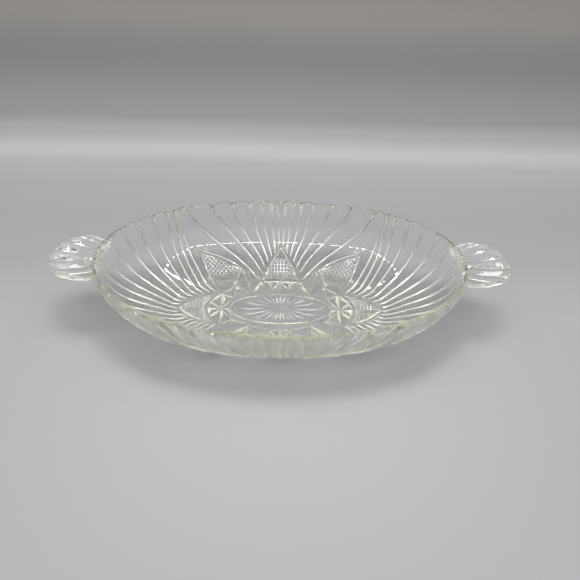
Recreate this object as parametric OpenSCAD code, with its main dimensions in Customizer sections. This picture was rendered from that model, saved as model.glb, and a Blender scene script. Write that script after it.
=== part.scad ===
// Relish tray: a shallow oval dish of clear pressed glass with a shell handle at each end.
// The real tray is one pressing. Here it is divided along the lines of its own pattern, and
// the pieces meet face to face: medallion, star border, ring of arches, fluted wall, handles.

/* [Bowl] */
// Length of the mouth, inside the glass
mouth_length = 195; // [180:1:220]
// Width of the mouth, inside the glass
mouth_width = 114; // [104:1:130]
// Height of the rim above the table, at the middle of the long sides
bowl_height = 37.4; // [30:0.2:46]
// How much higher the rim stands at the two ends
end_rise = 1.3; // [0:0.1:3]
// Thickness of the glass at the rim
rim_thickness = 3.4; // [2.6:0.1:4.2]
// Thickness of the glass over the flat of the floor
floor_thickness = 4.2; // [3.4:0.1:5.4]
// Length of the flat of the floor
floor_length = 122; // [114:1:128]
// Width of the flat of the floor
floor_width = 62.2; // [58:0.2:68]

/* [Flutes] */
// How far the ribs between the flutes stand above the hollows
rib_height = 1.6; // [0.6:0.1:2]
// How far each scallop of the rim stands above the notches beside it
scallop_height = 1.4; // [0.4:0.1:2.4]

/* [Centre medallion] */
// Length of the oval medallion
medallion_length = 58; // [48:1:60]
// Width of the oval medallion
medallion_width = 25; // [20:0.5:26]
// How far the underside of the medallion is lifted off the table
medallion_lift = 1.5; // [0.5:0.1:2]
// Number of rays of the medallion
ray_count = 24; // [12:4:28]
// Width of the rays along the tray at their widest; the others are as much narrower as shorter
ray_width = 2.6; // [1.4:0.1:3.2]
// How far the rays stand out of the medallion's underside
ray_depth = 0.8; // [0.3:0.1:1.2]
// Width of the plain oval at the middle of the rays, along the tray
ray_eye = 13; // [8:1:16]
// Width of the plain band between the rays and the long sides of the medallion
ray_margin = 2; // [1.5:0.1:3]

/* [Arches] */
// Distance from the middle of the tray to the point of an end arch
end_point = 60.1; // [56:0.2:64]
// Distance from the middle of the tray to the point of a side arch
side_point = 46.7; // [44:0.1:49]
// Distance along the tray from its middle to the point of a corner arch
corner_point_x = 50.1; // [48:0.1:53]
// Distance across the tray from its middle to the point of a corner arch
corner_point_y = 38; // [36:0.2:40]
// Distance along the tray to the foot that an end arch and a corner arch share
end_foot_x = 34.8; // [33:0.2:37]
// Distance across the tray to the foot that an end arch and a corner arch share
end_foot_y = 13.3; // [12:0.1:14.4]
// Distance along the tray to the foot that a side arch and a corner arch share
side_foot_x = 12.4; // [11:0.2:14]
// Distance across the tray to the foot that a side arch and a corner arch share
side_foot_y = 24.2; // [22.6:0.2:25.6]
// Width of the raised bar around each arch
bar_width = 1.2; // [0.8:0.1:1.6]
// How deep the panel of an arch is sunk between its bars
panel_depth = 0.6; // [0.2:0.1:1]

/* [Star border] */
// Depth of the facets cut in the star border
facet_depth = 1.1; // [0.5:0.1:1.6]
// Width of the plain land between neighbouring facets
facet_land = 0.6; // [0.4:0.1:1]

/* [Handles] */
// How far a handle reaches out from the mouth of the bowl
handle_reach = 25.6; // [21:0.2:31]
// Width of a handle across its lobes
handle_width = 38; // [33:0.5:44]
// Width of a handle at its root on the bowl
root_width = 31; // [26:0.5:33]
// Thickness of a handle at its root
handle_thickness = 5.6; // [4.6:0.1:7]
// Thickness of a handle behind its rounded edge
edge_thickness = 4.4; // [3.4:0.1:5.2]
// How far the mid-plane rises from the root to the edge
handle_rise = 2.6; // [0:0.1:4]
// Number of lobes on a handle
lobe_count = 7; // [5:1:9]
// How far the lobes stand above the creases between them
lobe_height = 1.5; // [0.4:0.1:2]
// How far the edge is drawn in at each crease
lobe_notch = 1.6; // [0.5:0.1:2.4]

/* [Hidden] */

glass = [0.80, 0.82, 0.76, 0.55];

// Fullness of the oval: 2 is an ellipse, and more is squarer
oval_power = 2.1;
// The well rises gently over the first part of the wall and steeply over the last
steep_share = 0.454;
steep_power = 7;
// Step over which the slope of the well is measured
slope_step = 0.05;
// Furthest share that the search for a place on the rise looks at, and the halvings it makes
furthest_share = 1.3;
halvings = 22;
// Radial sides of the medallion's outline
medallion_sides = 88;
// How far along a ray its widest place lies
ray_swell_share = 0.6;

// Turns at which the ribs reach the rim, from the end of the tray and from the corner arch on
end_rib_turns = [0, 8.1, 16.9, 26, 34.2, 41.7, 47.8, 51, 52.6];
side_rib_turns = [55.4, 65.2, 72.6, 79.3, 83.3, 86.6, 88.9];
corner_turns = [53.2, 54.6];
// Columns of the mesh over one corner arch, and the column at its point
corner_columns = 10;
corner_point_share = 0.4;

// Sideways bow of the edges of the arches, and of the ribs that start on a side arch
end_bow = 3.2;
corner_low_bow = 1.2;
corner_high_bow = 3.8;
side_bow = 1;
side_rib_bow = 4.8;
// Columns from the foot of a side arch over which its ribs keep most of their bow
side_rib_bow_reach = 5.5;
side_rib_bow_power = 4;
// Bow of the ribs that start on an end arch, most of it towards the foot that it shares
end_rib_bow = 2.2;
end_rib_bow_power = 2.4;
// How far the foot of an end arch swells outward, and that of a side arch
end_foot_swell = 7.7;
side_foot_swell = 0.6;
// Elbow and crest of the foot of a corner arch
corner_elbow = [27, 20];
corner_elbow_share = 0.4;
corner_crest = [22.3, 31];
corner_crest_share = 0.75;

// Places of the star's own points, as shares of the feet beside them
star_middle_share = 0.4;
star_waist_shares = [0.79, 0.68];
star_node_shares = [0.5, 1];
fan_dip_shares = [0.44, 0.71];
fan_root_share = 0.68;

// Shares of the way across a panel, and from an arch to the rim, at which the mesh has a ring
panel_shares = [0, 0.1, 0.2, 0.5, 0.8, 0.9, 1];
well_shares = [0, 0.35, 0.7, 1];
wall_shares = [0, 0.14, 0.28, 0.42, 0.56, 0.68, 0.78, 0.86, 0.93, 1];
// Half of the share of the way across a panel that is sunk between the bars
panel_half_share = 0.35;
// Share of the full rib height that a rib has where it starts
rib_start_share = 0.45;

// How far the top of a handle's root lies below the notches of the rim
root_step = 0.1;
// Half of the turn that the edge of a handle takes, and its depth as a share of the reach
edge_sweep = 100;
edge_depth_share = 0.68;
// Shares of the way out along a handle that carry points, and where the edge rounds off
handle_shares = [0, 0.2, 0.35, 0.5, 0.65, 0.78, 0.88, 0.95, 1];
round_start_share = 0.78;
// How much of the thickness is rounded away at the edge and at the sides of a handle
edge_round_share = 0.86;
side_round_share = 0.72;
side_round_power = 6;
// Roundness of the end of a lobe: 1 is round, and less is blunter
lobe_end_power = 0.6;
// Steps of the mesh over one lobe, and columns of the wall beside the middle of a root
lobe_steps = 4;
root_columns = 9;

// Half sizes of the ovals
mouth_half = [mouth_length, mouth_width] / 2;
floor_half = [floor_length, floor_width] / 2;
medallion_half = [medallion_length, medallion_width] / 2;

end_foot = [end_foot_x, end_foot_y];
side_foot = [side_foot_x, side_foot_y];
end_tip = [end_point, 0];
side_tip = [0, side_point];
corner_tip = [corner_point_x, corner_point_y];

end_ribs = len(end_rib_turns);
side_ribs = len(side_rib_turns);

// Point between two others, a point beside the way, and a unit vector square to it
function mix(p, q, share) = p + (q - p) * share;
function aside(p, q) = [q[1] - p[1], p[0] - q[0]] / norm(q - p);
function bowed(p, q, share, bow) = mix(p, q, share) + aside(p, q) * 4 * bow * share * (1 - share);
function rounded_power(v, power) = sign(v) * pow(abs(v), power);

// Point of an oval at a turn from its long axis
function oval(half, turn) = [
    half[0] * rounded_power(cos(turn), 2 / oval_power),
    half[1] * rounded_power(sin(turn), 2 / oval_power)
];

// Where a line from the middle at an angle leaves an oval
function outwards(half, angle) = [cos(angle), sin(angle)]
    / pow(pow(abs(cos(angle)) / half[0], oval_power) + pow(abs(sin(angle)) / half[1], oval_power),
          1 / oval_power);

// Share of the way from the flat of the floor to the mouth at which a point of the plan lies
function outside(p, half) = pow(abs(p[0]) / half[0], oval_power) + pow(abs(p[1]) / half[1], oval_power) > 1;
function rise_share(p, low = 0, high = furthest_share, turns = halvings) =
    !outside(p, floor_half) ? 0
    : turns == 0 ? (low + high) / 2
    : let (middle = (low + high) / 2)
      outside(p, mix(floor_half, mouth_half, middle))
      ? rise_share(p, middle, high, turns - 1)
      : rise_share(p, low, middle, turns - 1);

// Height of the inside of the glass, and the unit vector that points out through the glass
function rim_height(p) = bowl_height + end_rise * pow(p[0] / mouth_half[0], 2);
function inner_height(p) =
    let (share = rise_share(p))
    let (climb = (1 - steep_share) * share + steep_share * pow(share, steep_power))
    floor_thickness + (rim_height(p) - floor_thickness) * climb;
function outward(p) =
    let (dx = inner_height(p + [slope_step, 0]) - inner_height(p - [slope_step, 0]))
    let (dy = inner_height(p + [0, slope_step]) - inner_height(p - [0, slope_step]))
    let (way = [dx, dy, -2 * slope_step])
    way / norm(way);
function inner_point(p) = [p[0], p[1], inner_height(p)];
function outer_point(p, relief) =
    let (thickness = mix(floor_thickness, rim_thickness, min(rise_share(p), 1)))
    inner_point(p) + outward(p) * (thickness + relief);

// The foot and the edge of each arch in one quarter of the plan, from end to side
function end_foot_line(share) = let (y = end_foot_y * share)
    [end_foot_x + end_foot_swell * (1 - share * share), y];
function end_edge_line(share) = bowed(end_tip, edge_foot(end_foot), share, end_bow);
function corner_foot_line(share) =
    share < corner_elbow_share ? mix(end_foot, corner_elbow, share / corner_elbow_share)
    : share < corner_crest_share
    ? mix(corner_elbow, corner_crest,
          (share - corner_elbow_share) / (corner_crest_share - corner_elbow_share))
    : mix(corner_crest, side_foot, (share - corner_crest_share) / (1 - corner_crest_share));
function corner_edge_line(share) =
    share < corner_point_share
    ? bowed(edge_foot(end_foot), corner_tip, share / corner_point_share, corner_low_bow)
    : bowed(edge_foot(side_foot), corner_tip, (1 - share) / (1 - corner_point_share), -corner_high_bow);
function side_foot_line(share) =
    [side_foot_x * (1 - share), side_foot_y + side_foot_swell * share * (2 - share)];
function side_edge_line(share) = bowed(edge_foot(side_foot), side_tip, share, side_bow);
// Neighbouring arches share a foot, one bar wide
function edge_foot(foot) = foot * (1 + bar_width / norm(foot));

// Turn at which column k of a fan of ribs meets the rim: ribs are the odd columns
function fan_turn(turns, k, first, last) =
    k == 0 ? first
    : k == 2 * len(turns) ? last
    : k % 2 == 1 ? turns[(k - 1) / 2]
    : (turns[k / 2 - 1] + turns[k / 2]) / 2;
function rib_side(k) = k % 2 == 1 ? 1 : -1;

// Columns of the mesh over a quarter: foot, edge, turn at the rim, bow, rib or hollow, panel.
// The first rib runs from the point of the end arch, so the columns start on it.
quarter = [
    for (k = [1 : 2 * end_ribs - 1])
        let (share = (k - 1) / (2 * end_ribs - 1))
        [end_foot_line(share), end_edge_line(share),
         fan_turn(end_rib_turns, k, 0, corner_turns[0]),
         -end_rib_bow * sin(180 * pow(share, end_rib_bow_power)), rib_side(k), 1],
    for (k = [0 : corner_columns - 1])
        let (share = k / corner_columns)
        let (beyond = max(0, share - corner_point_share) / (1 - corner_point_share))
        [corner_foot_line(share), corner_edge_line(share),
         mix(corner_turns[0], corner_turns[1], share), side_rib_bow * beyond * beyond, 0, k == 0 ? 0 : 1],
    for (k = [0 : 2 * side_ribs])
        let (share = k / (2 * side_ribs))
        [side_foot_line(share), side_edge_line(share),
         fan_turn(side_rib_turns, k, corner_turns[1], 90),
         side_rib_bow / (1 + pow(k / side_rib_bow_reach, side_rib_bow_power)), k == 0 ? 0 : rib_side(k), k == 0 ? 0 : 1]
];
last = len(quarter) - 1;

// All the columns, as [column of the quarter, sign along the tray, sign across it]
around = [
    for (k = [0 : last]) [k, 1, 1],
    for (k = [1 : last]) [last - k, -1, 1],
    for (k = [1 : last]) [k, -1, -1],
    for (k = [1 : last - 1]) [last - k, 1, -1]
];
function placed(p, spot) = [p[0] * spot[1], p[1] * spot[2]];
function foot_of(spot) = placed(quarter[spot[0]][0], spot);
function edge_of(spot) = placed(quarter[spot[0]][1], spot);
function rib_of(spot) = quarter[spot[0]][4];
function panel_of(spot) = quarter[spot[0]][5];
function wall_of(spot, share) =
    let (column = quarter[spot[0]])
    placed(bowed(column[1], oval(mouth_half, column[2]), share, -column[3]), spot);

// A closed ring of glass from the rings of points that go round its section
module glass_ring(rings) {
    count = len(rings[0]);
    rows = len(rings);
    points = [for (ring = rings) each ring];
    faces = [
        for (r = [0 : rows - 1], i = [0 : count - 1])
            let (next = (i + 1) % count, above = (r + 1) % rows)
            each [
                [r * count + i, above * count + next, r * count + next],
                [r * count + i, above * count + i, above * count + next]
            ]
    ];
    polyhedron(points, faces);
}

// A facet or ray of the underside: a pyramid both ways from a level, drawn in by the land
module facet(outline, land, depth, level) {
    sides = len(outline);
    middle = [for (axis = [0, 1]) sum_of([for (corner = outline) corner[axis]]) / sides];
    points = [
        for (corner = outline)
            let (edge = corner + (middle - corner) * land / norm(middle - corner))
            [edge[0], edge[1], level],
        [middle[0], middle[1], level + depth],
        [middle[0], middle[1], level - depth]
    ];
    faces = [
        for (i = [0 : sides - 1])
            let (next = (i + 1) % sides)
            each [[next, i, sides], [i, next, sides + 1]]
    ];
    polyhedron(points, faces);
}
function sum_of(values, i = 0) = i == len(values) ? 0 : values[i] + sum_of(values, i + 1);

module mirrored_four() {
    for (x = [0, 1], y = [0, 1]) mirror([x, 0, 0]) mirror([0, y, 0]) children();
}

function medallion_outline() = [
    for (i = [0 : medallion_sides - 1]) oval(medallion_half, 360 * i / medallion_sides)
];

module centre_medallion() {
    ray_inner = [ray_eye, ray_eye * medallion_width / medallion_length] / 2;
    ray_outer = medallion_half - ray_margin * [medallion_length / medallion_width, 1];
    ray_reach = mix(ray_inner[0], ray_outer[0], ray_swell_share);
    color(glass)
    union() {
        translate([0, 0, medallion_lift])
        linear_extrude(height = floor_thickness - medallion_lift)
        polygon(medallion_outline());
        for (i = [0 : ray_count - 1]) {
            from = outwards(ray_inner, 360 * i / ray_count);
            to = outwards(ray_outer, 360 * i / ray_count);
            middle = mix(from, to, ray_swell_share);
            half = aside(from, to) * ray_width / 2 * norm(middle) / ray_reach;
            facet([from, middle + half, to, middle - half], 0, ray_depth, medallion_lift);
        }
    }
}

// Facets of one quarter of the star border, on points of the arches' feet and the star's own
star_middle = [mix(medallion_half[0], end_foot_x + end_foot_swell, star_middle_share), 0];
star_tip = [medallion_half[0] + facet_land, 0];
star_waist = [end_foot_x * star_waist_shares[0], end_foot_y * star_waist_shares[1]];
star_node = [end_foot_x * star_node_shares[0], end_foot_y * star_node_shares[1]];
fan_dip = [side_foot_x * fan_dip_shares[0], side_foot_y * fan_dip_shares[1]];
fan_root = [0, side_foot_y * fan_root_share];
star_facets = [
    [star_middle, end_foot_line(0), end_foot_line(0.5)],
    [star_middle, end_foot_line(0.5), end_foot],
    [star_middle, end_foot, star_waist],
    [star_middle, star_waist, star_tip],
    [end_foot, corner_elbow, star_node, star_waist],
    [star_node, corner_elbow, corner_crest],
    [star_node, corner_crest, side_foot],
    [star_node, side_foot, fan_dip],
    [fan_dip, side_foot, side_foot_line(0.5)],
    [fan_dip, side_foot_line(0.5), side_foot_line(1)],
    [fan_dip, side_foot_line(1), fan_root]
];

module star_border() {
    outline = [for (spot = around) foot_of(spot)];
    color(glass)
    difference() {
        linear_extrude(height = floor_thickness) polygon(outline);
        translate([0, 0, -floor_thickness])
        linear_extrude(height = 3 * floor_thickness)
        polygon(medallion_outline());
        mirrored_four() for (outline = star_facets) facet(outline, facet_land, facet_depth, 0);
    }
}

module arch_band() {
    outer = [for (share = panel_shares) [for (spot = around)
        outer_point(mix(foot_of(spot), edge_of(spot), share),
                    abs(share - 0.5) < panel_half_share ? -panel_depth * panel_of(spot) : 0)]];
    inner = [for (i = [1 : len(well_shares)]) let (share = well_shares[len(well_shares) - i])
        [for (spot = around) inner_point(mix(foot_of(spot), edge_of(spot), share))]];
    color(glass) glass_ring(concat(outer, inner));
}

// Outside of the wall: hollows between the ribs, then the scallops of the lip
function rib_relief(spot, share) =
    share == 0 ? 0 : (rib_of(spot) - 1) * rib_height / 2 * mix(rib_start_share, 1, share);
function lip_point(p, spot) = p + [0, 0, -rib_of(spot) * scallop_height / 2];
function wall_outside(spot, share) =
    let (p = wall_of(spot, share))
    let (q = outer_point(p, rib_relief(spot, share)))
    share < 1 ? q : lip_point([q[0], q[1], inner_height(p)], spot);
function wall_inside(spot, share) =
    let (q = inner_point(wall_of(spot, share)))
    share < 1 ? q : lip_point(q, spot);

module fluted_wall() {
    rows = len(wall_shares);
    outer = [for (share = wall_shares) [for (spot = around) wall_outside(spot, share)]];
    inner = [for (i = [1 : rows]) [for (spot = around) wall_inside(spot, wall_shares[rows - i])]];
    color(glass) glass_ring(concat(outer, inner));
}

// One column of the section through a handle: from the root to the edge of a lobe
function lobe(side) = abs(sin(90 * lobe_count * (side + 1)));
function root_point(side) = [mouth_half[0] - rim_thickness, side * root_width / 2];
function edge_point(side) =
    let (turn = edge_sweep * side, depth = handle_reach * edge_depth_share)
    let (p = [mouth_half[0] + handle_reach - depth + depth * cos(turn), handle_width / 2 * sin(turn)])
    let (drawn_in = lobe_notch * (1 - pow(lobe(side), lobe_end_power)))
    mix(p, root_point(side), drawn_in / norm(p - root_point(side)));
function handle_half_thickness(side, share) =
    let (round_off = max(0, share - round_start_share) / (1 - round_start_share))
    let (slim_edge = sqrt(1 - edge_round_share * round_off * round_off))
    let (slim_side = sqrt(1 - side_round_share * pow(abs(side), side_round_power)))
    let (crest = mix(handle_thickness, edge_thickness, share))
    slim_edge * slim_side * (crest + lobe_height * (lobe(side) - 1)) / 2;
function handle_point(side, share, face) =
    let (p = mix(root_point(side), edge_point(side), share))
    [p[0], p[1], root_level + handle_rise * share * share + face * handle_half_thickness(side, share)];
root_level = bowl_height + end_rise - (scallop_height + handle_thickness) / 2 - root_step;

// The fan of lobes, running on into the bowl
module handle_fan() {
    steps = lobe_count * lobe_steps;
    sides = [for (i = [0 : steps]) 2 * i / steps - 1];
    count = 2 * len(sides);
    rows = len(handle_shares);
    points = [
        for (share = handle_shares) each [
            for (side = sides) handle_point(side, share, 1),
            for (i = [0 : steps]) handle_point(sides[steps - i], share, -1)
        ]
    ];
    skin = [
        for (r = [0 : rows - 2], i = [0 : count - 1])
            let (next = (i + 1) % count)
            each [
                [r * count + i, r * count + next, (r + 1) * count + next],
                [r * count + i, (r + 1) * count + next, (r + 1) * count + i]
            ]
    ];
    caps = [
        for (i = [0 : steps - 1])
            let (over = (rows - 1) * count, j = count - 1 - i)
            each [
                [i, j, j - 1], [i, j - 1, i + 1],
                [over + i, over + j - 1, over + j], [over + i, over + i + 1, over + j - 1]
            ]
    ];
    polyhedron(points, concat(skin, caps));
}

// The bowl's wall at one end, swept inward, which the root of the handle is cut to
module end_of_wall(centre) {
    total = len(around);
    count = 2 * root_columns + 1;
    rows = len(wall_shares);
    spots = [for (i = [-root_columns : root_columns]) around[(centre + i + total) % total]];
    skin = [for (share = wall_shares, spot = spots) wall_outside(spot, share)];
    sweep = [-sign(skin[root_columns][0]) * mouth_half[0] / 2, 0, 0];
    points = concat(skin, [for (p = skin) p + sweep]);
    back = rows * count;
    front_faces = [
        for (r = [0 : rows - 2], i = [0 : count - 2])
            let (a = r * count + i, b = a + 1, c = a + count, d = c + 1)
            each [[a, d, b], [a, c, d]]
    ];
    back_faces = [for (face = front_faces) [face[0] + back, face[2] + back, face[1] + back]];
    ends = [
        for (i = [0 : count - 2])
            let (a = i, c = (rows - 1) * count + i)
            each [
                [a, a + 1, a + 1 + back], [a, a + 1 + back, a + back],
                [c, c + 1 + back, c + 1], [c, c + back, c + 1 + back]
            ]
    ];
    flanks = [
        for (r = [0 : rows - 2])
            let (a = r * count, c = a + count - 1)
            each [
                [a, a + back, a + count + back], [a, a + count + back, a + count],
                [c, c + count + back, c + back], [c, c + count, c + count + back]
            ]
    ];
    polyhedron(points, concat(front_faces, back_faces, ends, flanks));
}

module right_handle() {
    color(glass)
    difference() {
        handle_fan();
        end_of_wall(0);
    }
}

module left_handle() {
    color(glass)
    difference() {
        mirror([1, 0, 0]) handle_fan();
        end_of_wall(len(around) / 2);
    }
}

centre_medallion();
star_border();
arch_band();
fluted_wall();
left_handle();
right_handle();
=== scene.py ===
"""A relish tray of clear pressed glass: a fluted oval bowl with a pressed pattern under it and
a shell handle at each end. Places are worked out in millimetres and set down in metres."""

import math

import bpy
import numpy as np
from mathutils import Matrix, Vector
from mathutils.geometry import delaunay_2d_cdt


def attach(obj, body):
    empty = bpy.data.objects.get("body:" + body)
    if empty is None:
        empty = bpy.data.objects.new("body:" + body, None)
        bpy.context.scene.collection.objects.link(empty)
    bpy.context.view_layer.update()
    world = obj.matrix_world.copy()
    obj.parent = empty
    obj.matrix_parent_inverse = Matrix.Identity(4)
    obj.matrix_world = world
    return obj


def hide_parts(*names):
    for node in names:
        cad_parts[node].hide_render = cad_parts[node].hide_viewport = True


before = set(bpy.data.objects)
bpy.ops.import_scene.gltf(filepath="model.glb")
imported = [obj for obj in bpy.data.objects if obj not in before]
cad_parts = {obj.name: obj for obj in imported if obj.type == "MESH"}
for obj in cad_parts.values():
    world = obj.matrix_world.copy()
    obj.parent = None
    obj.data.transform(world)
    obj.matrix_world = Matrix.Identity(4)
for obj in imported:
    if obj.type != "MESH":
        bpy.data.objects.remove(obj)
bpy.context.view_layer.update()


# The pattern under the bowl. On the real tray it is cut into the mould, and the hot glass takes
# it up as it is pressed: a rayed medallion, a star border round it and eight pointed arches of
# diamond points. One quarter is drawn flat here, and depths stand for heights until it is pressed.
MOUTH = np.array([97.5, 57.0])
FLOOR = np.array([61.0, 31.1])
OVAL_POWER = 2.1
MEDALLION = np.array([29.0, 12.5])
MEDALLION_LIFT, MEDALLION_BEVEL = 0.95, 0.3
RAYS, RAY_WIDTH, RAY_WIDEST = 24, 0.15, 0.62
RAY_SLOPES, RAY_SLOPE_POWER = (33, 45), 1.4
RAY_EYE, RAY_MARGIN = np.array([6.5, 3.4]), np.array([4.6, 2.0])
OVAL_STEPS = 36
BAR, PANEL_DEPTH, PANEL_SLOPE = 1.25, 0.9, 0.5
POINT_PITCH, SHORTEST_GROOVE, HIGH_START = 1.85, 0.05, 1.5
SIDE_HATCH = ((0, 38.5), (1, 38.5))
FACET_LAND, FACET_BEVEL, FACET_DEPTH, FACET_SLOPE = 0.15, 0.42, -0.32, -0.14
END_FOOT, SIDE_FOOT = np.array([34.8, 13.3]), np.array([12.4, 24.2])
END_TIP, SIDE_TIP = np.array([60.1, 0.0]), np.array([0.0, 46.7])
CORNER_TIP = np.array([50.1, 38.0])
ELBOW, CREST = np.array([27.0, 20.0]), np.array([22.3, 31.0])
ELBOW_AT, CREST_AT, CORNER_POINT = 0.4, 0.75, 0.4
FOOT_BAR, END_FOOT_BOW, SIDE_FOOT_BOW = 1.2, 7.7, 0.6
END_EDGE_BOW, CORNER_EDGE_BOWS, SIDE_EDGE_BOW = 3.2, (1.2, -3.8), 1
(LAND, SUNK, RAY, FACET, PLAIN, END_PANEL, CORNER_PANEL, SIDE_PANEL,
 CORNER_HIGH, SIDE_HIGH) = range(10)
# High areas lie on the rising part of the bowl, and their points have a form of their own
HIGH_KIND = {CORNER_PANEL: CORNER_HIGH, SIDE_PANEL: SIDE_HIGH}
# Groove round a point, rise of its top and slope of its peak, for each kind of area
POINTS = {END_PANEL: (0.23, 0.27, 0), CORNER_PANEL: (0.28, 0, 57), SIDE_PANEL: (0.23, 0.27, 0),
          CORNER_HIGH: (0.25, 0.4, 0), SIDE_HIGH: (0.25, 0.4, 0)}


def mix(a, b, share):
    return a + (b - a) * share


def bowed(a, b, share, bow):
    """A point on the way from a to b, on a line that bows sideways."""
    aside = np.array([(b - a)[1], (a - b)[0]]) / np.linalg.norm(b - a)
    return mix(a, b, share) + aside * 4 * bow * share * (1 - share)


def oval(half, turn):
    c, s = math.cos(math.radians(turn)), math.sin(math.radians(turn))
    c, s = (0.0 if abs(v) < 1e-9 else v for v in (c, s))
    return half * np.array([abs(c) ** (2 / OVAL_POWER), abs(s) ** (2 / OVAL_POWER)])


def outwards(half, angle):
    """Where a line from the middle at an angle leaves an oval."""
    way = np.array([math.cos(math.radians(angle)), math.sin(math.radians(angle))])
    way[np.abs(way) < 1e-9] = 0
    return way / ((way / half) ** OVAL_POWER).sum() ** (1 / OVAL_POWER)


def lifted(foot):
    """Neighbouring arches share a foot, one bar wide."""
    return foot * (1 + FOOT_BAR / np.linalg.norm(foot))


def end_arch(share):
    """Foot and edge of the end arch, from its middle to the foot it shares."""
    foot = np.array([END_FOOT[0] + END_FOOT_BOW * (1 - share * share), END_FOOT[1] * share])
    return foot, bowed(END_TIP, lifted(END_FOOT), share, END_EDGE_BOW)


def corner_arch(share):
    """The same for a corner arch, from the foot it shares with the end arch to its other one."""
    stops = [(0, END_FOOT), (ELBOW_AT, ELBOW), (CREST_AT, CREST), (1, SIDE_FOOT)]
    for (a, p), (b, q) in zip(stops, stops[1:]):
        if share <= b:
            foot = mix(p, q, (share - a) / (b - a))
            break
    if share < CORNER_POINT:
        start, along, bow = END_FOOT, share / CORNER_POINT, CORNER_EDGE_BOWS[0]
    else:
        start, along, bow = SIDE_FOOT, (1 - share) / (1 - CORNER_POINT), CORNER_EDGE_BOWS[1]
    return foot, bowed(lifted(start), CORNER_TIP, along, bow)


def side_arch(share):
    """The same for a side arch, from the foot it shares to its middle."""
    foot = SIDE_FOOT[0] * (1 - share), SIDE_FOOT[1] + SIDE_FOOT_BOW * share * (2 - share)
    return np.array(foot), bowed(lifted(SIDE_FOOT), SIDE_TIP, share, SIDE_EDGE_BOW)


# Ribs spring from the sides of the arches, and these are the turns at which they reach the rim
END_TURNS = [0, 8.1, 16.9, 26, 34.2, 41.7, 47.8, 51, 52.6]
SIDE_TURNS = [55.4, 65.2, 72.6, 79.3, 83.3, 86.6, 88.9]
CORNER_TURNS = (53.2, 54.6)
HALF_FLUTE = [0, 0.3, 0.54, 0.73, 0.86, 0.94, 0.98]
CORNER_STATIONS = 30
END_RIB_BOW, END_BOW_POWER = -2.2, 2.4
SIDE_RIB_BOW, SIDE_BOW_REACH, SIDE_BOW_POWER = 4.8, 5.5, 4


def fan(arch, turns, first, last, bow):
    """Stations over one arch with ribs: foot, edge, turn at the rim, bow, share from a rib.
    An arch with no first turn of its own starts on its first rib."""
    stops = [v for a, b in zip(turns, turns[1:]) for v in (a, (a + b) / 2)] + [turns[-1], last]
    on_rib = int(first is None)
    stops = stops if on_rib else [first] + stops
    rows = []
    for k in range(len(stops) - 1):
        for step in HALF_FLUTE:
            to_rib = (k + on_rib) % 2 == 0
            at = k + (step if to_rib else 1 - (HALF_FLUTE + [1])[-1 - HALF_FLUTE.index(step)])
            turn = np.interp(at, range(len(stops)), stops)
            from_rib = abs((at + on_rib) % 2 - 1)
            rows.append((*arch(at / (len(stops) - 1)), turn, bow(at), from_rib))
    return rows


def end_bow(at):
    return END_RIB_BOW * math.sin(math.pi * (at / (2 * len(END_TURNS) - 1)) ** END_BOW_POWER)


def corner_bow(share):
    return SIDE_RIB_BOW * (max(0, share - CORNER_POINT) / (1 - CORNER_POINT)) ** 2


def side_bow(at):
    return SIDE_RIB_BOW / (1 + (at / SIDE_BOW_REACH) ** SIDE_BOW_POWER)


stations = fan(end_arch, END_TURNS, None, CORNER_TURNS[0], end_bow)
for k in range(CORNER_STATIONS):
    share = k / CORNER_STATIONS
    stations.append((*corner_arch(share), mix(*CORNER_TURNS, share), corner_bow(share), 1))
stations += fan(side_arch, SIDE_TURNS, CORNER_TURNS[1], 90, side_bow)
stations.append((*side_arch(1), 90, 0, 1))
edge_line = [s[1] for s in stations]

points, edges, outlines, kinds = [], [], [], []


def draw(line, closed=False):
    """Adds a line to the drawing and gives back the numbers of its points."""
    start = len(points)
    points.extend(Vector(p) for p in line)
    count = len(line)
    lines = count if closed else count - 1
    edges.extend((start + i, start + (i + 1) % count) for i in range(lines))
    return list(range(start, start + count))


def region(line, kind):
    """Adds an area of one kind, drawn anticlockwise as the triangulation needs it."""
    x, y = np.array(line).T
    if x @ np.roll(y, -1) < y @ np.roll(x, -1):
        line = line[::-1]
    outlines.append(draw(line, closed=True))
    kinds.append(kind)


region([np.zeros(2)] + edge_line, LAND)
turns = np.linspace(0, 90, OVAL_STEPS + 1)
draw([oval(MEDALLION, t) for t in turns])
region([np.zeros(2)] + [oval(MEDALLION - MEDALLION_BEVEL, t) for t in turns], SUNK)
ridges = []
for i in range(RAYS // 4 + 1):
    angle = 360 * i / RAYS
    start, stop = outwards(RAY_EYE, angle), outwards(MEDALLION - RAY_MARGIN, angle)
    middle = mix(start, stop, RAY_WIDEST)
    aside = np.array([middle[1], -middle[0]]) * RAY_WIDTH / 2
    region([p for p in (start, middle + aside, stop, middle - aside) if min(p) >= 0], RAY)
    draw([start, middle, stop])
    slope = mix(*RAY_SLOPES, (angle / 90) ** RAY_SLOPE_POWER)
    ridges.append((middle, np.linalg.norm(aside) * math.tan(math.radians(slope))))

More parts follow.
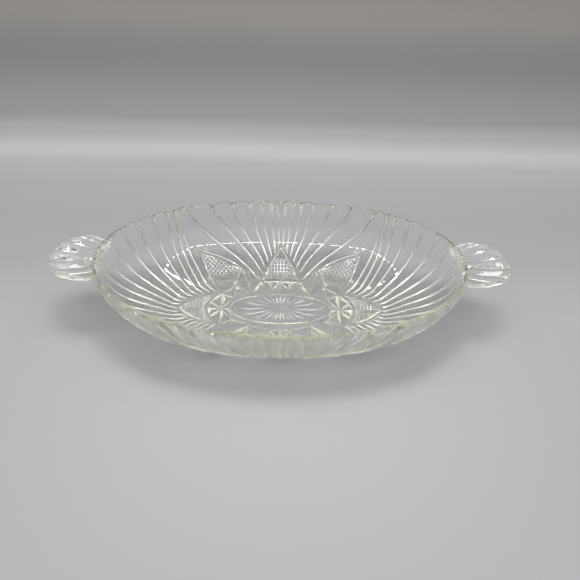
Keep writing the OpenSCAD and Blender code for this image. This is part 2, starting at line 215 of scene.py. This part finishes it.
star_middle = np.array([mix(MEDALLION[0], END_FOOT[0] + END_FOOT_BOW, 0.4), 0])
star_tip = np.array([MEDALLION[0] + 0.5, 0])
star_waist, star_node = END_FOOT * [0.79, 0.68], END_FOOT * [0.5, 1]
fan_dip, fan_root = SIDE_FOOT * [0.44, 0.71], np.array([0, SIDE_FOOT[1] * 0.68])
for facet in (
    [star_middle, end_arch(0)[0], end_arch(0.5)[0]],
    [star_middle, end_arch(0.5)[0], END_FOOT],
    [star_middle, END_FOOT, star_waist],
    [star_middle, star_waist, star_tip],
    [END_FOOT, ELBOW, star_node, star_waist],
    [star_node, ELBOW, CREST],
    [star_node, CREST, SIDE_FOOT],
    [star_node, SIDE_FOOT, fan_dip],
    [fan_dip, SIDE_FOOT, side_arch(0.5)[0]],
    [fan_dip, side_arch(0.5)[0], side_arch(1)[0]],
    [fan_dip, side_arch(1)[0], fan_root],
):
    region(facet, FACET)


NUDGE, LEAST_SLANT, FULLEST = 0.004, 0.4, 0.86
PANEL_SAMPLES = 26


def panel_outline(arch, high, width):
    """The ogive inside the bar of an arch: its lower side out, its upper side back."""
    lower, upper = [], []
    for share in np.linspace(0, high, PANEL_SAMPLES):
        foot, edge = arch(share)
        span = np.linalg.norm(edge - foot)
        before_point = arch is corner_arch and 0 < share <= CORNER_POINT
        nudge = -NUDGE if before_point or share == 1 else NUDGE
        shares = []
        for line, spot in enumerate((foot, edge)):
            tangent = arch(share + nudge)[line] - spot
            skew = tangent[0] * (edge - foot)[1] - tangent[1] * (edge - foot)[0]
            slant = abs(skew) / span / np.linalg.norm(tangent)
            shares.append(width / span / max(slant, LEAST_SLANT))
        if sum(shares) < FULLEST:
            lower.append(mix(foot, edge, shares[0]))
            upper.append(mix(foot, edge, 1 - shares[1]))
    return lower + upper[::-1]


def hatch(outline, origin, axis):
    """Two sets of grooves across a panel, along and square to its axis, cut off at its outline."""
    axis = np.array(axis, float) / np.linalg.norm(axis)
    across = np.array([-axis[1], axis[0]])
    corners = np.array(outline) - origin
    for way, side in ((axis, across), (across, axis)):
        u, v = corners @ way, corners @ side
        first, last = math.ceil(v.min() / POINT_PITCH), math.floor(v.max() / POINT_PITCH)
        for n in range(first, last + 1):
            level, crossings = n * POINT_PITCH, []
            for i in range(len(u)):
                j = (i + 1) % len(u)
                if (v[i] < level) != (v[j] < level):
                    crossings.append(u[i] + (u[j] - u[i]) * (level - v[i]) / (v[j] - v[i]))
            crossings.sort()
            for a, b in zip(crossings[::2], crossings[1::2]):
                if b - a > SHORTEST_GROOVE:
                    draw([origin + way * a + side * level, origin + way * b + side * level])


def under(outline, line):
    """The part of an outline that lies under a line: the wall above it is too steep for points."""
    (ax, ay), (bx, by) = line
    kept = []
    for p, q in zip(outline, outline[1:] + outline[:1]):
        over_p, over_q = (v[1] - mix(ay, by, (v[0] - ax) / (bx - ax)) for v in (p, q))
        if over_p <= 0:
            kept.append(p)
        if (over_p < 0) != (over_q < 0):
            kept.append(mix(p, q, over_p / (over_p - over_q)))
    return kept


for arch, high, origin, axis, top, kind in (
    (end_arch, 1, END_TIP, END_TIP, None, END_PANEL),
    (corner_arch, 0.73, CORNER_TIP, CORNER_TIP - (END_FOOT + SIDE_FOOT) / 2, None, CORNER_PANEL),
    (side_arch, 1, SIDE_TIP, SIDE_TIP, SIDE_HATCH, SIDE_PANEL),
):
    draw(panel_outline(arch, high, BAR), closed=True)
    outline = panel_outline(arch, high, BAR + PANEL_SLOPE)
    region(outline, PLAIN)
    if top:
        outline = under(outline, top)
    region(outline, kind)
    hatch(outline, origin, axis)

found, _, faces, _, _, inside = delaunay_2d_cdt(points, edges, outlines, 4, 1e-4, True)
kept = [i for i in range(len(faces)) if 0 in inside[i]]
kind_of = [max(kinds[j] for j in inside[i]) for i in kept]
for n, i in enumerate(kept):
    middle = np.mean([found[v] for v in faces[i]], axis=0)
    if kind_of[n] in HIGH_KIND and ((middle / (FLOOR + HIGH_START)) ** OVAL_POWER).sum() > 1:
        kind_of[n] = HIGH_KIND[kind_of[n]]
depth = np.zeros(len(found))
for i, kind in zip(kept, kind_of):
    if kind in (SUNK, RAY):
        depth[faces[i]] = -MEDALLION_LIFT
    elif kind >= PLAIN:
        depth[faces[i]] = -PANEL_DEPTH
for middle, rise in ridges:
    depth[np.argmin(np.linalg.norm(np.array(found) - middle, axis=1))] += rise
mesh = bpy.data.meshes.new("pattern")
mesh.from_pydata([(*p, z) for p, z in zip(found, depth)], [], [faces[i] for i in kept])
mesh.attributes.new("kind", "INT", "FACE").data.foreach_set("value", kind_of)
pattern = bpy.data.objects.new("pattern", mesh)
bpy.context.collection.objects.link(pattern)


def only(*objects):
    bpy.ops.object.select_all(action="DESELECT")
    for o in objects:
        o.select_set(True)
    bpy.context.view_layer.objects.active = objects[0]


def select_kind(o, kind):
    """Selects the faces of one kind, in edit mode."""
    bpy.ops.object.mode_set(mode="EDIT")
    bpy.ops.mesh.select_all(action="DESELECT")
    bpy.ops.object.mode_set(mode="OBJECT")
    values = np.zeros(len(o.data.polygons), int)
    o.data.attributes["kind"].data.foreach_get("value", values)
    o.data.polygons.foreach_set("select", values == kind)
    bpy.ops.object.mode_set(mode="EDIT")


only(pattern)
bpy.ops.object.mode_set(mode="EDIT")
bpy.ops.mesh.select_mode(type="FACE")
bpy.ops.mesh.select_all(action="SELECT")
bpy.ops.mesh.delete_loose()
select_kind(pattern, FACET)
bpy.ops.mesh.inset(thickness=FACET_LAND, use_individual=True)
bpy.ops.mesh.inset(thickness=FACET_BEVEL, depth=FACET_DEPTH, use_individual=True)
bpy.ops.mesh.poke(offset=FACET_SLOPE, use_relative_offset=True)
for kind, (groove, rise, slope) in POINTS.items():
    select_kind(pattern, kind)
    bpy.ops.mesh.inset(thickness=groove, depth=rise, use_individual=True,
                       use_even_offset=False, use_relative_offset=True)
    bpy.ops.mesh.poke(offset=math.tan(math.radians(slope)) / math.sqrt(2), use_relative_offset=True)
bpy.ops.object.mode_set(mode="OBJECT")


# The fluted wall: hollow flutes run from the arches to the rim and meet in sharp ribs, and the
# glass thins from the floor to the lip. A flat grid is laid over it, one column to a station, and
# then the whole drawing, pattern and flutes, is pressed to the shape of the bowl.
BOWL_HEIGHT, END_RISE = 37.4, 1.3
FLOOR_THICKNESS, RIM_THICKNESS = 4.2, 3.4
STEEP_SHARE, STEEP_POWER = 0.454, 7
RIB_HEIGHT, RIB_HALF_WIDTH, RIB_START = 1.05, 1.7, 0.7
END_HIGHER, END_WIDER = 0.4, 0.2
FLUTE_DEPTH, FLUTE_FULL = 0.6, 7
RIB_EASE, CROWN_FROM = 0.06, 0.8
WALL_SHARES = np.concatenate([[0, 0.012, 0.03], np.linspace(RIB_EASE, 1, 27)])
FURTHEST_SHARE, HALVINGS, SLOPE_STEP = 1.3, 26, 0.05
MERGE_DISTANCE = 2e-4


def rise_share(plan):
    """Share of the way from the floor's flat to the mouth, found by halving."""
    low, high = np.zeros(len(plan)), np.full(len(plan), FURTHEST_SHARE)
    for _ in range(HALVINGS):
        middle = (low + high) / 2
        half = FLOOR + (MOUTH - FLOOR) * middle[:, None]
        out = ((np.abs(plan) / half) ** OVAL_POWER).sum(1) > 1
        low, high = np.where(out, middle, low), np.where(out, high, middle)
    return np.where(((np.abs(plan) / FLOOR) ** OVAL_POWER).sum(1) > 1, (low + high) / 2, 0)


def inner_height(plan, share=None):
    share = rise_share(plan) if share is None else share
    climb = (1 - STEEP_SHARE) * share + STEEP_SHARE * share ** STEEP_POWER
    rim = BOWL_HEIGHT + END_RISE * (plan[:, 0] / MOUTH[0]) ** 2
    return FLOOR_THICKNESS + (rim - FLOOR_THICKNESS) * climb


def pressed(plan, relief):
    """Places on the outside of the glass, square through it from the inside."""
    dx = inner_height(plan + [SLOPE_STEP, 0]) - inner_height(plan - [SLOPE_STEP, 0])
    dy = inner_height(plan + [0, SLOPE_STEP]) - inner_height(plan - [0, SLOPE_STEP])
    way = np.stack([dx, dy, np.full(len(plan), -2 * SLOPE_STEP)], 1)
    way /= np.linalg.norm(way, axis=1)[:, None]
    thickness = mix(FLOOR_THICKNESS, RIM_THICKNESS, np.minimum(rise_share(plan), 1)) + relief
    return np.column_stack([plan, inner_height(plan)]) + way * thickness[:, None]


def flute(from_rib, half_width, x):
    """Depth of a flute at a share of the way from a rib's crest to its middle: the ribs are bolder
    and straighter towards the ends, and the hollow between two is deeper the wider it is."""
    end = (x / MOUTH[0]) ** 2
    beside = min(1, from_rib * half_width / (RIB_HALF_WIDTH * (1 + END_WIDER * end)))
    hollow = min(1, half_width / FLUTE_FULL) * (1 - (1 - from_rib) ** 2)
    flank = mix(1 - (1 - beside) ** 2, beside, end)
    return RIB_HEIGHT * (1 + END_HIGHER * end) * flank + FLUTE_DEPTH * hollow


def eased(low, high, v):
    v = min(max((v - low) / (high - low), 0), 1)
    return v * v * (3 - 2 * v)


def grid(name, rows):
    """A grid primitive with each of its points set in its place, row by row."""
    bpy.ops.mesh.primitive_grid_add(x_subdivisions=len(rows[0]) - 1, y_subdivisions=len(rows) - 1)
    o = bpy.context.object
    o.name = name
    o.data.vertices.foreach_set("co", np.array(rows, np.float32).ravel())
    o.data.update()
    return o


def coordinates(o):
    flat = np.zeros(3 * len(o.data.vertices))
    o.data.vertices.foreach_get("co", flat)
    return flat.reshape(-1, 3)


def merged(*objects):
    """Joins pieces of the glass along the edges that they share."""
    only(*objects)
    bpy.ops.object.join()
    bpy.ops.object.mode_set(mode="EDIT")
    bpy.ops.mesh.select_all(action="SELECT")
    bpy.ops.mesh.remove_doubles(threshold=MERGE_DISTANCE)
    bpy.ops.mesh.normals_make_consistent(inside=False)
    bpy.ops.object.mode_set(mode="OBJECT")
    return bpy.context.object


LIP_RISE, SCALLOP, CROWN_SHARE, NOTCH_POWER = 0.55, 1.0, 0.4, 2.2


def scallop(from_rib):
    return SCALLOP * (CROWN_SHARE - (1 - from_rib) ** NOTCH_POWER)


def half_widths(spots):
    """Half of the width of the flute that each station of a row lies in."""
    along = np.concatenate([[0], np.cumsum(np.linalg.norm(np.diff(spots, axis=0), axis=1))])
    shares = [s[4] for s in stations]
    turning = [i for i, v in enumerate(shares) if v in (0, 1)]
    widths = np.zeros(len(spots))
    for a, b in zip(turning, turning[1:]):
        widths[a:b + 1] = np.maximum(widths[a:b + 1], along[b] - along[a])
    return widths


crowns = np.array([scallop(s[4]) for s in stations])
wall_rows = []
for share in WALL_SHARES:
    start = min(1, share / RIB_EASE)
    spots = np.array([bowed(edge, oval(MOUTH, turn), share, -bow)
                      for _, edge, turn, bow, _ in stations])
    reach = mix(RIB_START, 1, share) * start
    hollows = np.array([reach * flute(s[4], width, spot[0])
                        for s, width, spot in zip(stations, half_widths(spots), spots)])
    row = pressed(spots, -hollows)
    row[:, 2] += eased(CROWN_FROM, 1, share) * (crowns + LIP_RISE)
    wall_rows.append(row)
wall = grid("wall", wall_rows)
drawn = coordinates(pattern)
outside = pressed(drawn[:, :2], drawn[:, 2]).astype(np.float32)
pattern.data.vertices.foreach_set("co", outside.ravel())
pattern.data.update()


# The inside and the lip: the plunger leaves the well smooth, from a flat floor up to the mouth,
# and fire polishing rounds the lip. It crowns over each flute and dips to a notch at each rib.
LIP_DROP, LIP_DROP_FROM, LIP_BULGE, LIP_STEPS = 0.2, 0.86, 0.36, 8
WELL_STEPS = 24
inner_rows = []
for share in np.linspace(0, 1, WELL_STEPS + 1):
    ring = np.array([oval(mix(FLOOR, MOUTH, share), s[2]) for s in stations])
    height = inner_height(ring, np.full(len(ring), share))
    inner_rows.append(np.column_stack([ring, height - eased(LIP_DROP_FROM, 1, share) * LIP_DROP]))
lip_rows = []
for k in range(LIP_STEPS + 1):
    across = (1 - math.cos(math.pi * k / LIP_STEPS)) / 2
    ring = mix(wall_rows[-1], inner_rows[-1], across)
    ring[:, 2] += LIP_BULGE * math.sin(math.pi * k / LIP_STEPS)
    lip_rows.append(ring)
well = grid("well", inner_rows)
lip = grid("lip", lip_rows)
mesh = bpy.data.meshes.new("well_floor")
ring = inner_rows[0]
mesh.from_pydata([(0, 0, FLOOR_THICKNESS), *map(tuple, ring)], [], [list(range(len(ring) + 1))])
well_floor = bpy.data.objects.new("well_floor", mesh)
bpy.context.collection.objects.link(well_floor)
quarter = merged(pattern, wall, lip, well, well_floor)
for axis in (0, 1):
    mirror = quarter.modifiers.new("mirror", "MIRROR")
    mirror.use_axis = (axis == 0, axis == 1, False)
    mirror.merge_threshold = MERGE_DISTANCE
    bpy.ops.object.modifier_apply(modifier=mirror.name)
bowl = merged(quarter)


# The handles: each is a shell of seven lobes, pressed with the bowl and run into its wall just
# under the lip. The creases between the lobes are a little deeper below than above, with a fine
# ripple there, and the edge is rounded off all the way.
HANDLE_REACH, HANDLE_WIDTH, ROOT_WIDTH = 25.6, 38, 31
HANDLE_THICKNESS, EDGE_THICKNESS, HANDLE_RISE = 5.3, 4.4, 2.6
ROOT_LEVEL, ROOT_DEPTH = 35.0, 0.6
HANDLE_TURN, HANDLE_DEPTH = 100, 0.68
LOBES, LOBE_NOTCH, LOBE_ROUND, LOBE_STEPS = 7, 1.6, 0.6, 12
CREASE_ABOVE, CREASE_BELOW, RIPPLE, RIPPLES = 1.1, 1.3, 0.22, 1.5
SLIM_FROM, SLIM_LENGTH, SLIM_TIP, SLIM_SIDES = 0.8, 0.2, 0.97, 0.8
MM = 0.001


def handle_ring(share):
    """One section through a handle: its top from front to back, then its underside."""
    top, bottom = [], []
    for i in range(LOBES * LOBE_STEPS + 1):
        side = 2 * i / (LOBES * LOBE_STEPS) - 1
        lobe = abs(math.sin(math.pi / 2 * LOBES * (side + 1)))
        ripple = RIPPLE * abs(math.cos(math.pi * RIPPLES * LOBES * (side + 1)))
        turn, depth = math.radians(HANDLE_TURN * side), HANDLE_REACH * HANDLE_DEPTH
        y = side * ROOT_WIDTH / 2
        rim = MOUTH[0] * (1 - (abs(y) / MOUTH[1]) ** OVAL_POWER) ** (1 / OVAL_POWER)
        root = np.array([rim + ROOT_DEPTH, y])
        tip = np.array([MOUTH[0] + HANDLE_REACH - depth + depth * math.cos(turn),
                        HANDLE_WIDTH / 2 * math.sin(turn)])
        tip = mix(tip, root, LOBE_NOTCH * (1 - lobe ** LOBE_ROUND) / np.linalg.norm(tip - root))
        x, y = mix(root, tip, share)
        slim_tip = math.sqrt(1 - SLIM_TIP * max(0, (share - SLIM_FROM) / SLIM_LENGTH) ** 2)
        slim = slim_tip * math.sqrt(1 - SLIM_SIDES * abs(side) ** 4)
        crest = mix(HANDLE_THICKNESS, EDGE_THICKNESS, share) / 2
        level = ROOT_LEVEL + HANDLE_RISE * share * share
        top.append((x, y, level + slim * (crest - CREASE_ABOVE * (1 - lobe))))
        bottom.append((x, y, level - slim * (crest - ripple - CREASE_BELOW * (1 - lobe))))
    return top + bottom[::-1]


HANDLE_SHARES = [0, 0.08, 0.16, 0.25, 0.35, 0.45, 0.55, 0.65, 0.73, 0.8, 0.85, 0.9, 0.94, 0.97,
                 0.99, 1]
handle_rows = [ring + ring[:1] for ring in map(handle_ring, HANDLE_SHARES)]
right_handle = grid("handle", handle_rows)
merged(right_handle)
bpy.ops.object.mode_set(mode="EDIT")
bpy.ops.mesh.select_all(action="DESELECT")
bpy.ops.mesh.select_mode(type="EDGE")
bpy.ops.mesh.select_non_manifold()
bpy.ops.mesh.edge_face_add()
bpy.ops.object.mode_set(mode="OBJECT")
left_handle = right_handle.copy()
left_handle.data = right_handle.data.copy()
bpy.context.collection.objects.link(left_handle)
left_handle.data.transform(Matrix.Scale(-1, 4, (1, 0, 0)))
handles = merged(right_handle, left_handle)
only(bowl)
union = bowl.modifiers.new("union", "BOOLEAN")
union.operation, union.solver, union.object = "UNION", "EXACT", handles
bpy.ops.object.modifier_apply(modifier=union.name)
bpy.data.objects.remove(handles)
bowl.data.transform(Matrix.Scale(MM, 4))
bowl.name = bowl.data.name = "pressed_tray"


# The glass: clear, with a faint straw tint that shows where one looks through much of it. Its
# skin keeps a little of the mould's and the fire's unevenness.
SMOOTH_BELOW = 28


def glass_finish():
    glass = bpy.data.materials.new("pressed_glass")
    glass.use_nodes = True
    nodes, links = glass.node_tree.nodes, glass.node_tree.links
    skin = nodes["Principled BSDF"]
    skin.inputs["Base Color"].default_value = (1, 1, 1, 1)
    skin.inputs["Transmission Weight"].default_value = 1
    skin.inputs["IOR"].default_value = 1.52
    place = nodes.new("ShaderNodeTexCoord")
    waves = nodes.new("ShaderNodeTexNoise")
    waves.inputs["Scale"].default_value = 55
    waves.inputs["Detail"].default_value = 2
    links.new(place.outputs["Object"], waves.inputs["Vector"])
    bump = nodes.new("ShaderNodeBump")
    bump.inputs["Strength"].default_value = 0.3
    bump.inputs["Distance"].default_value = 0.0002
    links.new(waves.outputs["Fac"], bump.inputs["Height"])
    links.new(bump.outputs["Normal"], skin.inputs["Normal"])
    polish = nodes.new("ShaderNodeMapRange")
    polish.inputs["To Min"].default_value = 0.0
    polish.inputs["To Max"].default_value = 0.035
    links.new(waves.outputs["Fac"], polish.inputs["Value"])
    links.new(polish.outputs["Result"], skin.inputs["Roughness"])
    tint = nodes.new("ShaderNodeVolumeAbsorption")
    tint.inputs["Color"].default_value = (0.96, 0.965, 0.88, 1)
    tint.inputs["Density"].default_value = 42
    links.new(tint.outputs["Volume"], nodes["Material Output"].inputs["Volume"])
    return glass


bowl.data.materials.clear()
bowl.data.materials.append(glass_finish())
only(bowl)
bpy.ops.object.shade_smooth_by_angle(angle=math.radians(SMOOTH_BELOW))
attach(bowl, "root")
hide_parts("centre_medallion", "star_border", "arch_band", "fluted_wall",
            "left_handle", "right_handle")


# The table: a matt grey top, a hair below the glass. Its grey changes from front to back, in stops
# matched to the photograph's backdrop, and part of it is painted light and shade: it is darker far
# back, as painted shade where a backdrop would stand, with a lighter band about 0.21 m back as a
# painted highlight where the backdrop would bend. A painted pool of light makes it a little lighter
# round the tray, for the light that the glass would bring down onto the table.
TABLE_GAP = 0.0002
# Greys from front to back, at distances in metres: the dark far end is painted shade, and the light
# stop at 0.212 is a painted highlight.
TABLE_GREYS_WITH_PAINTED_LIGHT = ((0.03, 0.285), (0.065, 0.255), (0.11, 0.248), (0.15, 0.26), (0.185, 0.285),
               (0.212, 0.35), (0.25, 0.267), (0.285, 0.2), (0.43, 0.16))
bpy.ops.mesh.primitive_plane_add(size=4, location=(0, 0, 0))
table = bpy.context.object
table.name = "table"
table.data.transform(Matrix.Translation((0, 0, -TABLE_GAP)))
paint = bpy.data.materials.new("table_top_with_painted_light")
paint.use_nodes = True
nodes, links = paint.node_tree.nodes, paint.node_tree.links
place = nodes.new("ShaderNodeTexCoord")
cloud = nodes.new("ShaderNodeTexNoise")
cloud.inputs["Scale"].default_value = 2.5
depth = nodes.new("ShaderNodeSeparateXYZ")
wander = nodes.new("ShaderNodeMath")
wander.operation = "MULTIPLY_ADD"
wander.inputs[1].default_value = 0.03
painted_light_ramp = nodes.new("ShaderNodeValToRGB")
painted_light_ramp.color_ramp.interpolation = "EASE"
for at, grey in TABLE_GREYS_WITH_PAINTED_LIGHT:
    painted_light_ramp.color_ramp.elements.new(at).color = (grey, grey, grey * 0.995, 1)
painted_light_ramp.color_ramp.elements.new(0.66).color = (0.237, 0.218, 0.2, 1)
painted_light_ramp.color_ramp.elements[0].color = (0.296, 0.296, 0.3, 1)
painted_light_ramp.color_ramp.elements[-1].color = (0.26, 0.23, 0.207, 1)
# A painted pool of light: the table's grey is scaled from 1.14 at a point 0.03 m in front of the
# middle down to 0.97 at 0.17 m from it.
painted_light_pool = nodes.new("ShaderNodeVectorMath")
painted_light_pool.operation = "DISTANCE"
painted_light_pool.inputs[1].default_value = (0, -0.03, 0)
painted_pool_falloff = nodes.new("ShaderNodeMapRange")
painted_pool_falloff.interpolation_type = "SMOOTHSTEP"
painted_pool_falloff.inputs["From Max"].default_value = 0.17
painted_pool_falloff.inputs["To Min"].default_value = 1.14
painted_pool_falloff.inputs["To Max"].default_value = 0.97
tone_with_painted_pool = nodes.new("ShaderNodeVectorMath")
tone_with_painted_pool.operation = "SCALE"
links.new(place.outputs["Object"], painted_light_pool.inputs[0])
links.new(painted_light_pool.outputs["Value"], painted_pool_falloff.inputs["Value"])
links.new(painted_pool_falloff.outputs["Result"], tone_with_painted_pool.inputs["Scale"])
links.new(painted_light_ramp.outputs["Color"], tone_with_painted_pool.inputs[0])
links.new(place.outputs["Object"], cloud.inputs["Vector"])
links.new(place.outputs["Object"], depth.inputs["Vector"])
links.new(cloud.outputs["Fac"], wander.inputs[0])
links.new(depth.outputs["Y"], wander.inputs[2])
links.new(wander.outputs["Value"], painted_light_ramp.inputs["Fac"])
links.new(tone_with_painted_pool.outputs["Vector"], nodes["Principled BSDF"].inputs["Base Color"])
nodes["Principled BSDF"].inputs["Roughness"].default_value = 0.6
table.data.materials.append(paint)


# The light: rows of small lamps round the roof of a light tent, one along the front and one down
# each side, a soft box over them, and the tent's pale cloth, which is darker low down. The box has
# no mirror image in the glass, because that hides the pattern in views from above and behind.
LAMP_ROOF, LAMP_PITCH, LAMP_POWER = 600, 52, 0.06
FRONT_LAMP, SIDE_LAMP = (34, 14), (20, 8)
ROOF_SIDE, ROOF_FRONT, ROOF_BACK = 235, -285, 300
BOX_SIZE, BOX_POWER, BOX_PLACE = (0.3, 0.2), 3.24, (0, 0.05, 0.75)


def lamp_row(name, start, stop, size):
    start, stop = Vector(start), Vector(stop)
    count = round((stop - start).length / LAMP_PITCH)
    for i in range(count):
        lamp = bpy.data.lights.new(f"{name}_{i}", "AREA")
        lamp.shape, lamp.energy = "RECTANGLE", LAMP_POWER
        lamp.size, lamp.size_y = (side * MM for side in size)
        o = bpy.data.objects.new(lamp.name, lamp)
        o.location = start.lerp(stop, (i + 0.5) / count) * MM
        o.rotation_euler.z = math.atan2(stop.y - start.y, stop.x - start.x)
        bpy.context.collection.objects.link(o)


lamp_row("front_lamp", (-ROOF_SIDE, ROOF_FRONT, LAMP_ROOF), (ROOF_SIDE, ROOF_FRONT, LAMP_ROOF),
         FRONT_LAMP)
for name, x in (("side_lamp_left", -ROOF_SIDE), ("side_lamp_right", ROOF_SIDE)):
    lamp_row(name, (x, ROOF_FRONT, LAMP_ROOF), (x, ROOF_BACK, LAMP_ROOF), SIDE_LAMP)
box = bpy.data.lights.new("roof_box", "AREA")
box.shape, box.energy = "RECTANGLE", BOX_POWER
box.size, box.size_y = BOX_SIZE
roof_box = bpy.data.objects.new("roof_box", box)
roof_box.location = BOX_PLACE
roof_box.visible_glossy = False
bpy.context.collection.objects.link(roof_box)
tent = bpy.data.worlds.new("light_tent")
bpy.context.scene.world = tent
tent.use_nodes = True
nodes, links = tent.node_tree.nodes, tent.node_tree.links
way = nodes.new("ShaderNodeTexCoord")
height = nodes.new("ShaderNodeSeparateXYZ")
cloth = nodes.new("ShaderNodeValToRGB")
for at, grey in ((0.22, 0.42), (0.5, 0.85)):
    cloth.color_ramp.elements.new(at).color = (grey * 0.97, grey * 0.985, grey, 1)
cloth.color_ramp.elements[0].color = (0.24, 0.24, 0.25, 1)
cloth.color_ramp.elements[-1].color = (1, 1, 1, 1)
links.new(way.outputs["Generated"], height.inputs["Vector"])
links.new(height.outputs["Z"], cloth.inputs["Fac"])
links.new(cloth.outputs["Color"], nodes["Background"].inputs["Color"])
nodes["Background"].inputs["Strength"].default_value = 0.92
bpy.context.scene.view_settings.view_transform = "Standard"


# The camera looks down on the tray from in front of one long side, as in the photograph. Light is
# followed through many reflections, because it is turned back inside the glass again and again.
FOCAL_PIXELS, FRAME_PIXELS, SENSOR = 575, 580, 36
TILT, YAW, ROLL = 0.702, 0.030, 0.037
DISTANCE, AIM = 345.05, (5.201, 17.964, 1.4)
lens = bpy.data.cameras.new("camera")
lens.lens, lens.sensor_width = FOCAL_PIXELS / FRAME_PIXELS * SENSOR, SENSOR
lens.clip_start = 0.01
camera = bpy.data.objects.new("camera", lens)
bpy.context.collection.objects.link(camera)
right, upward = Vector((1, 0, 0)), Vector((0, math.sin(TILT), math.cos(TILT)))
right, upward = (right * math.cos(ROLL) + upward * math.sin(ROLL),
                 upward * math.cos(ROLL) - right * math.sin(ROLL))
back = Vector((0, -math.cos(TILT), math.sin(TILT)))
turned = Matrix((right, upward, back)).transposed().to_4x4()
turned.translation = (Vector(AIM) + back * DISTANCE) * MM
camera.matrix_world = Matrix.Rotation(-YAW, 4, "Z") @ turned
bpy.context.scene.camera = camera
light_paths = bpy.context.scene.cycles
light_paths.max_bounces = light_paths.transmission_bounces = 24
light_paths.glossy_bounces = 16
